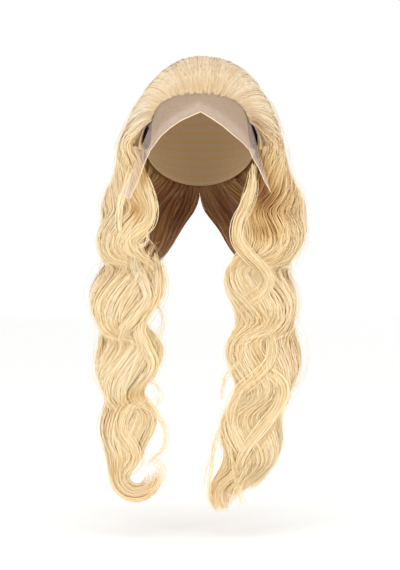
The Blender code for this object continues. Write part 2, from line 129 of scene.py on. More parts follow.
# Studio
FLOOR = -0.600
FLOOR_REACH = 12.0
CAMERA_DISTANCE = 1.85
CAMERA_LEVEL = -0.287
PICTURE_HEIGHT = 0.741
SENSOR_HEIGHT = 36
Softbox = namedtuple("Softbox", "name place target size power")
SOFTBOXES = (
    Softbox("left_softbox", (-1.6, -1.9, 0.35), (0, 0, -0.25), (1.0, 1.4), 13),
    Softbox("right_softbox", (1.6, -1.9, 0.35), (0, 0, -0.25), (1.0, 1.4), 11),
    Softbox("top_softbox", (0, -0.6, 1.5), (0, 0, -0.2), (1.2, 1.2), 3),
)

Sweep = namedtuple("Sweep", "share root_x root_drop over_turn over_rise gate_turn gate_drop")
SWEEPS = (
    Sweep(0.00, 0.87, 0.88, 60, 4, 60, 1.19),
    Sweep(0.20, 0.79, 0.72, 70, 22, 80, 1.17),
    Sweep(0.40, 0.67, 0.61, 82, 37, 104, 1.22),
    Sweep(0.60, 0.48, 0.54, 96, 52, 133, 1.34),
    Sweep(0.80, 0.25, 0.50, 125, 68, 158, 1.50),
    Sweep(1.00, 0.00, 0.49, 180, 89, 180, 1.58),
)
HairDepth = namedtuple("HairDepth", "drop left right back")
HAIR_DEPTHS = [HairDepth(*row) for row in (
    (0.00, 0.16, 0.20, 0.20),
    (0.15, 0.14, 0.34, 0.24),
    (0.30, 0.16, 0.44, 0.26),
    (0.50, 0.26, 0.54, 0.30),
    (0.77, 0.52, 0.80, 0.40),
    (1.04, 0.86, 1.02, 0.52),
    (1.30, 1.24, 1.34, 0.66),
    (1.60, 1.26, 1.34, 0.80),
)]

# The long hair on its way down: drop is a share of HAIR_DROP, and in hundredths x is of SPREAD, y of the
# reaches and depth of LOCK_DEPTH.
Plan = namedtuple("Plan", "drop front_x front_y outer_x outer_y rear_x rear_y back_x back_y depth")
RIGHT_PLANS = [Plan(*row) for row in (
    (0.310, 52, -50, 80, -33, 91, 40, 3, 103, 96),
    (0.378, 41, -58, 71, -50, 87, 4, 22, 92, 100),
    (0.438, 33, -64, 64, -66, 84, -16, 47, 74, 100),
    (0.508, 29, -74, 56, -84, 77, -50, 74, 32, 96),
    (0.578, 32, -80, 57, -91, 79, -74, 86, -6, 92),
    (0.651, 32, -84, 53, -94, 79, -84, 88, -42, 90),
    (0.727, 31, -85, 49, -94, 73, -86, 81, -50, 84),
    (0.811, 27, -85, 44, -93, 63, -88, 70, -58, 80),
    (0.893, 18, -84, 37, -92, 59, -87, 68, -62, 72),
    (0.946, 13, -82, 29, -89, 46, -86, 55, -72, 60),
    (1.000, 19, -80, 26, -84, 33, -84, 39, -80, 48),
)]
LEFT_PLANS = [Plan(*row) for row in (
    (0.310, 49, -50, 74, -33, 86, 40, 3, 103, 92),
    (0.378, 50, -56, 72, -44, 80, 10, 22, 92, 94),
    (0.438, 47, -64, 73, -60, 89, -10, 47, 74, 94),
    (0.508, 44, -74, 69, -82, 92, -46, 79, 34, 94),
    (0.578, 46, -80, 69, -91, 90, -70, 89, -4, 90),
    (0.651, 45, -84, 66, -94, 86, -80, 88, -38, 88),
    (0.727, 47, -85, 64, -94, 82, -84, 85, -50, 82),
    (0.811, 49, -85, 65, -93, 82, -85, 87, -58, 76),
    (0.875, 57, -83, 67, -89, 77, -89, 86, -78, 60),
    (0.916, 68, -82, 74, -85, 80, -87, 86, -86, 50),
    (1.100, 68, -82, 74, -85, 80, -87, 86, -88, 46),
)]
Tip = namedtuple("Tip", "share left right")
TIPS = (
    Tip(0.00, 1.052, 1.000),
    Tip(0.35, 1.082, 0.995),
    Tip(0.60, 1.090, 0.972),
    Tip(1.00, 1.072, 0.935),
)
Wave = namedtuple("Wave", "share left_swing right_swing lag push")
WAVES = (
    Wave(0.00, -0.90, -0.45, 0.10, 0.60),
    Wave(0.25, -1.00, -0.90, 0.30, 1.00),
    Wave(0.50, -0.50, -0.50, 0.50, 1.00),
    Wave(0.75, 0.20, 0.15, 0.40, 0.80),
    Wave(1.00, 0.40, 0.30, 0.20, 0.50),
)
Lock = namedtuple("Lock", "name start end")
LOCKS = (
    Lock("front_lock", 0.00, 0.24),
    Lock("outer_lock", 0.24, 0.50),
    Lock("rear_lock", 0.50, 0.76),
    Lock("nape_lock", 0.76, 1.00),
)
LaceColumn = namedtuple("LaceColumn", "seam root_x root_drop edge_x edge_drop loose")
LACE_COLUMNS = [LaceColumn(*row) for row in (
    (-1.00, -0.86, 0.93, -1.33, 0.95, 1),
    (-0.93, -0.83, 0.88, -1.20, 1.00, 1),
    (-0.86, -0.80, 0.83, -1.04, 0.86, 1),
    (-0.78, -0.78, 0.78, -0.94, 0.74, 1),
    (-0.68, -0.75, 0.72, -0.84, 0.65, 1),
    (-0.52, -0.66, 0.62, -0.65, 1.06, 0),
    (-0.36, -0.50, 0.54, -0.50, 0.97, 0),
    (-0.20, -0.28, 0.49, -0.34, 0.89, 0),
    (0.00, 0.00, 0.48, 0.01, 0.77, 0),
    (0.18, 0.25, 0.49, 0.20, 0.86, 0),
    (0.34, 0.47, 0.53, 0.38, 0.95, 0),
    (0.48, 0.64, 0.60, 0.56, 1.06, 0),
    (0.62, 0.75, 0.69, 0.73, 1.15, 0),
    (0.74, 0.800, 0.76, 0.84, 0.65, 1),
    (0.84, 0.825, 0.80, 0.90, 0.71, 1),
    (0.91, 0.845, 0.84, 0.99, 0.77, 1),
    (0.96, 0.860, 0.87, 1.10, 0.87, 1),
    (1.00, 0.875, 0.90, 1.21, 0.95, 1),
)]
TabRow = namedtuple("TabRow", "share front_turn back_turn")
EAR_TAB_ROWS = (
    TabRow(0.00, 43, 74),
    TabRow(0.35, 47, 81),
    TabRow(0.60, 48, 82),
    TabRow(0.85, 50, 80),
    TabRow(1.00, 53, 74),
)


def curve(keys, values, at):
    """Smooth curve through rows of values at the keys, for an array of places."""
    keys, values = np.asarray(keys, float), np.asarray(values, float)
    at = np.clip(np.asarray(at, float), keys[0], keys[-1])
    i = np.clip(np.searchsorted(keys, at, side="right") - 1, 0, len(keys) - 2)
    order = np.arange(len(keys))
    low, high = np.maximum(order - 1, 0), np.minimum(order + 1, len(keys) - 1)
    slopes = (values[high] - values[low]) / (keys[high] - keys[low])[:, None]
    span = (keys[i + 1] - keys[i])[..., None]
    t = (at - keys[i])[..., None] / span
    bend = t * t * (3 - 2 * t)
    start = values[i] * (1 - bend) + slopes[i] * span * t * (1 - t) ** 2
    return start + values[i + 1] * bend - slopes[i + 1] * span * t * t * (1 - t)


def table(rows, at, *columns):
    """The named columns of a table on smooth curves, first axis the columns."""
    values = [[getattr(row, column) for column in columns] for row in rows]
    return np.moveaxis(curve([row[0] for row in rows], values, at), -1, 0)


def smooth_step(start, end, value):
    t = np.clip((value - start) / (end - start), 0, 1)
    return t * t * (3 - 2 * t)


def unit(vectors):
    return vectors / np.maximum(np.linalg.norm(vectors, axis=-1, keepdims=True), 1e-9)


def aim(turn, rise):
    level = np.cos(rise)
    return np.stack([np.sin(turn) * level, -np.cos(turn) * level, np.sin(rise)], -1)


def on_head(directions, offset):
    """Where directions from the middle of the head meet the layer at an offset from the skin."""
    tall = np.where(directions[..., 2] >= 0, CROWN_HEIGHT, JAW_DEPTH) + offset
    sizes = np.stack([tall * 0 + HEAD_HALF_WIDTH + offset, tall * 0 + HEAD_HALF_LENGTH + offset, tall], -1)
    reach = (np.abs(directions / sizes) ** HEAD_FULLNESS).sum(-1) ** (-1 / HEAD_FULLNESS)
    return directions * reach[..., None] + np.array((0, 0, -CROWN_HEIGHT))


def face_depth(x, z, offset):
    """How far in front of the ears a layer of the face lies, or 0 beside the head."""
    level = z + CROWN_HEIGHT
    tall = (CROWN_HEIGHT if level >= 0 else JAW_DEPTH) + offset
    rest = 1 - abs(x / (HEAD_HALF_WIDTH + offset)) ** HEAD_FULLNESS - abs(level / tall) ** HEAD_FULLNESS
    return (HEAD_HALF_LENGTH + offset) * max(rest, 0) ** (1 / HEAD_FULLNESS)


def face_direction(x, z, offset):
    return unit(np.array((x, -face_depth(x, z, offset), z + CROWN_HEIGHT)))


def lune(over, across):
    """Direction by two angles: over the head from the front, and across it from the middle."""
    level = np.cos(across)
    return np.stack([np.sin(across), -level * np.cos(over), level * np.sin(over)], -1)


def lengths_along(path):
    """Length of a path from its start to each of its points."""
    return np.concatenate(([0], np.cumsum(np.linalg.norm(np.diff(path, axis=0), axis=1))))


def even_out(rows, start, stop, rounds):
    """Draws the values from start to stop of each row towards their neighbours, in place."""
    for _ in range(rounds):
        before, after = rows[:, start - 1 : stop - 1], rows[:, start + 1 : stop + 1]
        rows[:, start:stop] = (before + rows[:, start:stop] * 2 + after) / 4


def sweep_path(side, share, steps):
    """Directions under a strand from its root to the gate, in steps of equal length."""
    root_x, root_drop, over_turn, over_rise, gate_turn, gate_drop = table(SWEEPS, share, *Sweep._fields[1:])
    root = face_direction(root_x * HEAD_HALF_WIDTH, -root_drop * CROWN_HEIGHT, HAIR_BASE)
    over = aim(np.radians(over_turn), np.radians(over_rise))
    gate = aim(np.radians(gate_turn), 0)
    gate[2] = (1 - gate_drop) * CROWN_HEIGHT / HEAD_HALF_LENGTH

    def at(run):
        run = run[:, None]
        path = root * (1 - run) ** 2 + over * (2 * SWEEP_PULL * run * (1 - run)) + unit(gate) * run**2
        return unit(path) * np.array((side, 1, 1))

    runs = np.linspace(0, 1, PATH_SAMPLES)
    lengths = lengths_along(on_head(at(runs), HAIR_BASE))
    return at(np.interp(np.linspace(0, lengths[-1], steps), lengths, runs))


def crown_line(side, share):
    """Base, outward direction and depth of the hair along one strand over the head."""
    directions = sweep_path(side, share, HEAD_STEPS)
    base = on_head(directions, HAIR_BASE)
    drop = -on_head(directions, 0)[:, 2] / CROWN_HEIGHT
    left, right, back = table(HAIR_DEPTHS, drop, "left", "right", "back")
    beside = left + (right - left) * smooth_step(-SIDE_BLEND, SIDE_BLEND, directions[:, 0])
    full = HAIR_AT_EARS * (beside + (back - beside) * smooth_step(*BACK_BLEND, directions[:, 1]))
    root_distance = np.linalg.norm(base - base[0], axis=1)
    depth = HAIR_AT_ROOT + (full - HAIR_AT_ROOT) * smooth_step(0, ROOT_RISE, root_distance)
    outwards = directions.copy()
    outwards[:, 2] = np.maximum(outwards[:, 2], 0)
    return base, unit(outwards), depth


def plan_line(side, share, gate, gate_depth, drops):
    """Middle line and depth of the long hair at one share, at the given drops."""
    plans = RIGHT_PLANS if side > 0 else LEFT_PLANS
    keys = [-gate[2]] + [plan.drop * HAIR_DROP for plan in plans]
    points = [gate]
    for plan in plans:
        xs = np.array((plan.front_x, plan.outer_x, plan.rear_x, plan.back_x)) / 100 * SPREAD * side
        ys = [y / 100 * (FRONT_REACH if y < 0 else BACK_REACH) for y in plan[2:9:2]]
        corners = np.stack([xs, ys, np.full(4, -plan.drop * HAIR_DROP)], -1)
        points.append(curve(np.arange(4) / 3, corners, share))
    depths = [[gate_depth]] + [[plan.depth / 100 * LOCK_DEPTH] for plan in plans]
    middle = curve(keys, points, drops)
    left, right, lag, push = table(WAVES, share, "left_swing", "right_swing", "lag", "push")
    turn = 2 * np.pi * (drops - WAVE_CREST) / WAVE_LENGTH
    strength = wave_strength(side, drops)
    swing = right if side > 0 else left
    middle[:, 0] += side * WAVE_SIDEWAYS * (swing * np.cos(turn) + lag * np.sin(turn)) * strength
    middle[:, 1] -= WAVE_FORWARD * push * np.sin(turn) * strength
    return middle, curve(keys, depths, drops)[:, 0]


def wave_strength(side, drops):
    strength = smooth_step(WAVE_BEGINS, WAVE_FULL, drops)
    if side < 0:
        strength = strength * (1 - smooth_step(CURL_DROP - WAVE_LENGTH, CURL_DROP - WAVE_LENGTH / 4, drops))
    return strength


def curled(side, points):
    """Points rolled into the curl, where the hair on the left runs past its level."""
    if side > 0:
        return points
    turn = np.maximum(-points[..., 2] - CURL_DROP, 0) / CURL_TURN_RADIUS
    radius = side * points[..., 0] - CURL_CENTRE
    x = side * (CURL_CENTRE + radius * np.cos(turn))
    z = np.where(turn > 0, -CURL_DROP - radius * np.sin(turn), points[..., 2])
    return np.stack([x, points[..., 1], z], -1)


Field = namedtuple("Field", "side middle normal across depth drop")


def make_field(side):
    """The hair of one side on a grid of shares and steps, from the roots to the tips."""
    middles, depths, drops = [], [], []
    for share in np.linspace(0, 1, SHARES):
        base, outwards, depth = crown_line(side, share)
        crown = base + outwards * depth[:, None] / 2
        gate = crown[-1]
        tip = table(TIPS, share, "right" if side > 0 else "left")[0] * HAIR_DROP
        levels = np.linspace(-gate[2], tip, FALL_STEPS + 1)[1:]
        middle, fall_depth = plan_line(side, share, gate, depth[-1], levels)
        middles.append(np.concatenate([crown, middle]))
        depths.append(np.concatenate([depth, fall_depth]))
        drops.append(np.concatenate([-crown[:, 2], levels]))
    flat, depth, drop = np.array(middles), np.array(depths), np.array(drops)
    even_out(flat, HEAD_STEPS - BEND_STEPS, HEAD_STEPS + BEND_STEPS + 1, BEND_ROUNDS)
    middle = curled(side, flat)
    across = np.gradient(middle, 1 / (SHARES - 1), axis=0)
    along = unit(np.gradient(middle, axis=1))
    normal = unit(np.cross(along, across)) * side
    even_out(normal, 1, normal.shape[1] - 1, NORMAL_ROUNDS)
    return Field(side, middle, unit(normal), across, depth, drop)


def sample(grid, share, step):
    """Values of one grid between its points."""
    s = np.clip(share, 0, 1) * (SHARES - 1)
    i = np.minimum(s.astype(int), SHARES - 2)
    j = np.clip(step, 0, grid.shape[1] - 1.000001).astype(int)
    u, v = s - i, np.clip(step, 0, grid.shape[1] - 1) - j
    if grid.ndim == 3:
        u, v = u[..., None], v[..., None]
    upper = grid[i, j] * (1 - u) + grid[i + 1, j] * u
    lower = grid[i, j + 1] * (1 - u) + grid[i + 1, j + 1] * u
    return upper * (1 - v) + lower * v


def edge_room(share, step):
    """How much of the depth is left at the sides of the long hair, where it is rounded off."""
    room = (1 - np.abs(2 * np.clip(share, 0, 1) - 1) ** EDGE_FULLNESS) ** EDGE_POWER
    return 1 - (1 - room) * smooth_step(HEAD_STEPS - 3, HEAD_STEPS + 4, step)


def hair_place(field, share, rise, step):
    """Points in the hair, their outward direction and the way round, by share, rise and step."""
    inside = np.clip(share, 0, 1)
    across = sample(field.across, inside, step)
    normal = sample(field.normal, inside, step)
    depth = sample(field.depth, inside, step) * edge_room(inside, step)
    middle = sample(field.middle, inside, step)
    first = step * 0
    before = sample(field.middle, inside, first + 1) - sample(field.middle, inside, first)
    middle = middle + before * np.minimum(step, 0)[..., None]
    points = middle + across * (share - inside)[..., None] + normal * (depth * (rise - 0.5))[..., None]
    return points, normal, across


def step_length(field, share):
    """Length of one step over the head, in metres."""
    steps = np.linalg.norm(np.diff(field.middle[:, : HEAD_STEPS - BEND_STEPS], axis=1), axis=2).mean(1)
    return np.interp(share, np.linspace(0, 1, SHARES), steps)


# Layers of strands on each side: clumps is the number of locks, strands how many each holds, rise where
# they lie in the depth, spread a lock's share of the way round, thick its half depth, tone how light it
# is (lower for the layers deeper inside, as painted shade), swing its own swing, gather how far it
# narrows, width that of a strand, frizz how far a strand strays, and ragged how unlike the ends are.
# Lengths are in metres.
Layer = namedtuple("Layer", "name clumps strands rise spread thick tone swing gather width frizz ragged")
LAYERS = (
    Layer("outer", 8, 130, 0.88, 0.100, 0.0050, 0.84, 0.0085, 0.20, 0.00090, 0.0011, 0.07),
    Layer("middle", 9, 56, 0.66, 0.085, 0.0045, 0.78, 0.0070, 0.24, 0.00100, 0.0010, 0.08),
    Layer("inner", 12, 48, 0.06, 0.060, 0.0035, 0.50, 0.0030, 0.26, 0.00110, 0.0009, 0.10),
    Layer("loose", 7, 44, 0.80, 0.170, 0.0085, 0.88, 0.0080, -0.15, 0.00055, 0.0022, 0.16),
    Layer("stray", 10, 14, 0.95, 0.240, 0.0110, 0.90, 0.0070, -0.30, 0.00040, 0.0034, 0.24),
)
STRAND_POINTS = 64

# How unlike the ends of strands are: a power under 1 thins them out, and the curl has more of it
TIP_FADE = 1.5
CURL_FADE = 0.65
CURL_RAGGED = 0.13

# How the locks of a layer differ in place, length, way round, twist, wave, swing and tone
CLUMP_SHIFT = 0.2
CLUMP_SHORT = 0.02
CLUMP_DRIFT = 0.06
CLUMP_TWIST = 5.0
CLUMP_LAG = 0.5
CLUMP_SWING = (0.7, 1.15)
CLUMP_TONE = 0.05

# Shares over which the swing comes and goes, its loss on the right and the drops over which that sets in,
# and the parts by which locks narrow from step to step
SWING_SHARES = ((-0.02, 0.30), (0.46, 0.82))
RIGHT_CALM = 0.45
RIGHT_CALM_DROPS = (0.28, 0.36)
NARROWING = ((HEAD_STEPS, 66, 0.4), (80, LAST_STEP, 0.6))

# Painted highlight and shade: broad lighter and darker bands over the head: strength, turns along the share
# and shift by side
CROWN_LIGHT_BANDS = ((0.045, 47, 2), (0.035, 101, 1))

# How strands differ within a lock. Late roots lie behind the hairline, and the roots are darkened by a
# painted shadow.
LATE_ROOTS = 0.15
LATE_ROOT_RUN = 0.1
ROOT_PLACE = 0.0012
ROOT_SCATTER = 0.0030
ROOT_SHADOW = (0.04, 0.30)
STRAND_LAG = 0.10
STRAND_ROLL = 0.30
STRAND_WIDTH = (0.65, 1.25)
STRAND_TONE = 0.055
FRIZZ_WAVES = (0.011, 0.027, 0.06)

# Baby hairs: their number, start and length along the head, width and tone
BABY_HAIRS = 330
BABY_HAIR_POINTS = 12
BABY_HAIR_START = (-0.0045, 0.002)
BABY_HAIR_LENGTH = (0.008, 0.026)
BABY_HAIR_WIDTH = (0.00025, 0.00042)
BABY_HAIR_TONE = 0.66

# Closed forms behind the strands, which end some steps before the tips. Their tone lies below that of the
# outer strands and falls towards their inner side, as painted shade.
FORM_SIDES = 64
FORM_ROWS = 105
FORM_SHORT = {-1: 14, 1: 9}
FORM_TIP_STEPS = 17
FORM_TONE = 0.70
FORM_TONES = (0.04, 0.96)
CROWN_FORM_GRID = (46, 121)
CROWN_FORM_RISES = ((0.30, 0.50), (0.10, 0.10))
CROWN_FORM_BEHIND = 0.010

# The map of the hair: tones across it, strands along it, paler and a little dimmer at its start over the
# crown as a painted sheen
TONES = (0.02, 0.98)
MAP_ENDS = (0.02, 0.98)
CROWN_MAP_END = 0.20
TRESS_MAP_START = 0.26
STRAND_ON_MAP = 0.004
CROWN_SHEEN_ENDS = (0.10, 0.24)
CROWN_SHEEN_SATURATION = 0.76
CROWN_SHEEN_BRIGHTNESS = 0.93

# Where, on its way back, hair counts as behind the neck for the painted neck shadow, and a painted shade
# patch of one side ends
NECK_SHADOW_BLEND = (-0.05, -0.01)
PAINTED_SHADE_ENDS = (0.0, 0.05)

# Painted shade: patches of darker hair that stand for shadow in the hollows between locks, at the temples,
# over the crown and behind the neck, seen from the front, on one side or both (0). x (from the middle) and
# drop are their middle, wide and tall their half sizes, in millimetres. lean is how far they move outwards
# for each millimetre down, inner is 1 for the painted shadow behind the neck, and amount is added to the
# tone.
PaintedShade = namedtuple("PaintedShade", "side x drop wide tall lean inner amount")
PAINTED_SHADES = [PaintedShade(*row) for row in (
    (0, 30, 200, 75, 85, 0, 1, -0.32),
    (0, 0, -10, 110, 55, 0, 0, -0.20),
    (-1, 80, 195, 10, 16, -0.1, 0, -0.38),
    (-1, 70, 150, 16, 24, 0, 0, -0.24),
    (-1, 99, 169, 8, 16, 0.2, 0, -0.12),
    (-1, 60, 170, 10, 25, 0, 0, -0.20),
    (-1, 64, 306, 6, 12, 0.3, 0, -0.20),
    (-1, 96, 339, 9, 8, 0.6, 0, -0.18),
    (-1, 90, 306, 8, 14, 0, 0, -0.12),
    (-1, 76, 420, 13, 7, 1.0, 0, -0.26),
    (-1, 92, 434, 9, 8, 0.6, 0, -0.16),
    (-1, 81, 489, 6, 10, 0.8, 0, -0.16),
    (-1, 95, 507, 6, 8, 0.9, 0, -0.20),
    (-1, 103, 518, 5, 10, 0.1, 0, -0.18),
    (1, 82, 221, 22, 10, 0, 0, -0.38),
    (1, 82, 180, 32, 36, 0, 0, -0.60),
    (1, 65, 298, 9, 5, 0.8, 0, -0.24),
    (1, 81, 328, 14, 10, 0.3, 0, -0.16),
    (1, 71, 377, 5, 10, -0.5, 0, -0.20),
    (1, 77, 394, 11, 7, -0.8, 0, -0.20),
    (1, 53, 412, 9, 6, 0.5, 0, -0.20),
    (1, 45, 371, 6, 12, 0, 0, -0.12),
    (1, 62, 475, 15, 13, 0, 0, -0.10),
    (1, 47, 499, 10, 10, 0, 0, -0.12),
    (1, 78, 87, 10, 19, 0.6, 0, -0.40),
    (1, 72, 140, 14, 30, 0, 0, -0.34),
    (-1, 70, 95, 8, 18, 0.6, 0, -0.18),
)]

# Single locks and wisps that lie on the hair in front. wide and thick are their size and path their x
# and their drop below the top, all in millimetres. loose is 1 for a wisp whose end hangs free.
Tress = namedtuple("Tress", "strands wide thick tone loose path")
RIGHT_TRESSES = [Tress(*row) for row in (
    (120, 17, 7, 0.82, 0, (
        (68, 132), (67, 160), (59, 188), (49, 211), (49, 231), (62, 250), (76, 265), (84, 281), (77, 297),
        (60, 310), (48, 322), (50, 340),
    )),
    (90, 17, 6, 0.84, 0, (
        (77, 333), (88, 356), (86, 378), (71, 398), (52, 415), (41, 435), (40, 455), (46, 478),
    )),
    (80, 18, 6, 0.84, 0, (
        (57, 383), (85, 395), (101, 412), (97, 435), (79, 460), (59, 485), (48, 510), (52, 535),
    )),
    (16, 7, 6, 0.86, 1, ((57, 368), (42, 386), (30, 402), (25, 420), (27, 435))),
    (16, 10, 6, 0.88, 1, ((30, 465), (37, 492), (44, 524), (50, 547), (53, 565))),
    (26, 12, 6, 0.88, 1, ((32, 453), (20, 480), (14, 515), (12, 540), (18, 562))),
    (24, 14, 6, 0.88, 1, ((62, 500), (52, 520), (42, 540), (36, 560))),
)]
LEFT_TRESSES = [Tress(*row) for row in (
    (50, 9, 5, 0.86, 0, ((-85, 132), (-93, 159), (-100, 185), (-101, 209), (-97, 234))),
    (70, 13, 6, 0.82, 0, (
        (-71, 147), (-63, 172), (-60, 191), (-64, 209), (-74, 220), (-86, 232), (-90, 251),
    )),
    (10, 3, 3, 0.90, 1, ((-78, 214), (-70, 216), (-65, 226), (-68, 236), (-77, 239), (-82, 229))),
    (100, 16, 6, 0.84, 0, (
        (-83, 239), (-80, 264), (-69, 286), (-65, 303), (-79, 326), (-93, 343), (-100, 368),
    )),
    (120, 18, 6, 0.82, 0, (
        (-58, 246), (-51, 274), (-53, 300), (-67, 322), (-74, 343), (-66, 363), (-58, 381), (-63, 398),
        (-82, 414),
    )),
    (8, 8, 4, 0.84, 1, ((-50, 216), (-59, 236), (-66, 259), (-70, 286))),
    (10, 8, 4, 0.84, 1, ((-66, 229), (-54, 244), (-47, 261), (-46, 281), (-52, 300))),
    (12, 8, 5, 0.88, 1, ((-58, 300), (-46, 325), (-49, 346), (-62, 364))),
    (20, 7, 5, 0.88, 1, ((-71, 420), (-56, 440), (-43, 468), (-46, 488), (-60, 502), (-73, 517))),
    (90, 17, 6, 0.84, 0, (
        (-70, 424), (-90, 443), (-95, 465), (-82, 488), (-80, 502), (-93, 520), (-104, 537),
    )),
    (10, 7, 4, 0.88, 1, ((-64, 402), (-53, 410), (-48, 425), (-56, 440))),
    (24, 12, 6, 0.88, 1, ((-75, 545), (-55, 536), (-46, 520), (-52, 505), (-66, 500))),
)]
TRESS_POINTS = 40
TRESS_ROUNDS = 12
TRESS_LATE = 0.18
TRESS_RAGGED = 0.28
TRESS_LIFT = 0.004
TRESS_SINK = 0.006
TRESS_STRAND_WIDTH = 0.0009
TRESS_STRAY = 0.0016

# How far round a place the front of the hair is looked for
FRONT_WIDE = 0.016
FRONT_TALL = 0.006


def painted_shade_at(side, points, rise):
    """What the painted shade patches add to the tone of the hair at its places and its rise in the depth.
    """
    x, drop = np.abs(points[..., 0]) / MM, -points[..., 2] / MM
    behind = smooth_step(*NECK_SHADOW_BLEND, points[..., 1])
    ahead = 1 - smooth_step(*PAINTED_SHADE_ENDS, points[..., 1])
    total = np.zeros(x.shape)
    for patch in PAINTED_SHADES:
        if patch.side in (0, side):
            past = drop - patch.drop
            far = ((x - patch.x - patch.lean * past) / patch.wide) ** 2 + (past / patch.tall) ** 2
            # The patch behind the neck paints shadow on the inner hair; the others paint shade on the hair
            # in front
            where = behind * (1 - rise) if patch.inner else ahead if patch.side else 1
            total += patch.amount * where * np.exp(-far)
    return total


def lay_clumps(field, layer, rng):
    """Paths, facing, widths and tones of the strands of one layer."""
    n = layer.clumps * layer.strands
    clump = np.repeat(np.arange(layer.clumps), layer.strands)

    def each(low, high):
        return rng.uniform(low, high, layer.clumps)[clump][:, None]

    t = np.linspace(0, 1, STRAND_POINTS)[None, :]
    centre = (clump[:, None] + 0.5 + each(-CLUMP_SHIFT, CLUMP_SHIFT)) / layer.clumps
    free = rng.uniform(-1, 1, (n, 1))
    size = step_length(field, np.clip(centre + free * layer.spread, 0, 1))
    fade, ragged = TIP_FADE, layer.ragged
    if field.side < 0:
        fade, ragged = CURL_FADE, layer.ragged + CURL_RAGGED
    end = 1 - rng.uniform(0, 1, (n, 1)) ** fade * ragged - each(0, CLUMP_SHORT)
    late = rng.uniform(0, 1, (n, 1)) < LATE_ROOTS
    start = np.where(late, rng.uniform(0, LATE_ROOT_RUN, (n, 1)), 0) * LAST_STEP
    start = start + rng.normal(ROOT_PLACE, ROOT_SCATTER, (n, 1)) / size
    step = start + (end * LAST_STEP - start) * t
    run = np.maximum(step, 0) * size
    drift = each(-CLUMP_DRIFT, CLUMP_DRIFT) * smooth_step(HEAD_STEPS, LAST_STEP, step)
    angle = rng.uniform(0, 2 * np.pi, (n, 1))
    radius = np.sqrt(rng.uniform(0, 1, (n, 1)))
    twist = each(-CLUMP_TWIST, CLUMP_TWIST) * smooth_step(HEAD_STEPS * 0.6, LAST_STEP, step)
    narrowed = sum(part * smooth_step(first, last, step) for first, last, part in NARROWING)
    gather = 1 - layer.gather * narrowed
    a = np.cos(angle + twist) * radius * gather
    b = np.sin(angle + twist) * radius * gather
    on_crown = 1 - smooth_step(HEAD_STEPS * 0.6, HEAD_STEPS * 1.3, step)
    a = a * (1 - on_crown) + (free + 0.1 * np.sin(step * 0.3 + angle)) * on_crown
    share = np.abs(centre + drift + a * layer.spread)
    share = np.where(share > 1, 2 - share, share)
    rise = layer.rise * smooth_step(-0.004, 0.014, run)
    points, normal, across = hair_place(field, share, rise, step)
    drop = sample(field.drop, share, step)
    strength = wave_strength(field.side, drop)
    turn = 2 * np.pi * (drop - WAVE_CREST) / WAVE_LENGTH + each(-CLUMP_LAG, CLUMP_LAG)
    turn = turn + rng.normal(0, STRAND_LAG, (n, 1))
    sideways = unit(across)
    comes, goes = SWING_SHARES
    inner_side = smooth_step(*comes, share) * (1 - smooth_step(*goes, share))
    calm = 1 - RIGHT_CALM * (field.side > 0) * smooth_step(*RIGHT_CALM_DROPS, drop)
    own = layer.swing * each(*CLUMP_SWING) * strength * calm * (0.1 + 0.9 * inner_side)
    own = own * (1 - smooth_step(HAIR_DROP - WAVE_LENGTH, HAIR_DROP, drop))
    points = points - sideways * (own * np.cos(turn))[..., None]
    lift = layer.thick * b * smooth_step(0, HEAD_STEPS * 1.3, step) + own * 0.5 * np.sin(turn)
    loosened = smooth_step(HEAD_STEPS * 0.4, HEAD_STEPS * 1.4, step)
    for wave in FRIZZ_WAVES:
        stray = layer.frizz * (FRIZZ_WAVES[0] / wave) ** 0.5 * loosened
        phases = rng.uniform(0, 2 * np.pi, (2, n, 1))
        turns = 2 * np.pi * step * wave * rng.uniform(0.7, 1.3, (n, 1))
        points = points + sideways * (stray * np.sin(turns + phases[0]))[..., None]
        lift = lift + stray * np.sin(turns + phases[1])
    base = -rise * sample(field.depth, share, step)
    lift = np.where(step < HEAD_STEPS, np.maximum(lift, base), lift)
    points = points + normal * lift[..., None]
    roll = rng.normal(0, STRAND_ROLL, (n, 1)) + a * 0.6
    facing = unit(normal + sideways * roll[..., None])
    width = layer.width * rng.uniform(*STRAND_WIDTH, (n, 1))
    width = width * (0.30 + 0.70 * smooth_step(0, 0.028, run)) * (1 - 0.75 * smooth_step(0.88, 1.0, t))
    tone = layer.tone + each(-CLUMP_TONE, CLUMP_TONE) + rng.normal(0, STRAND_TONE, (n, 1))
    # Painted highlight and shade along the wave: lighter where it bulges out, darker where it falls back
    tone = tone + 0.04 * np.sin(turn) * strength
    # Painted shadow at the roots, fading out over the first 22 mm of each strand
    root = rng.uniform(*ROOT_SHADOW, (n, 1)) * (1 - smooth_step(0, 0.022, run))
    # Painted highlight and shade in broad bands over the crown
    painted_light = sum(size * np.sin(turns * share + shift * field.side) for size, turns, shift in CROWN_LIGHT_BANDS)
    # Painted shade: lighter on the outside of each lock, darker inside it, plus the painted shade patches
    tone = tone - root + 0.04 * b + painted_light * on_crown + painted_shade_at(field.side, points, layer.rise)
    return points, facing, width, np.clip(tone, *TONES)


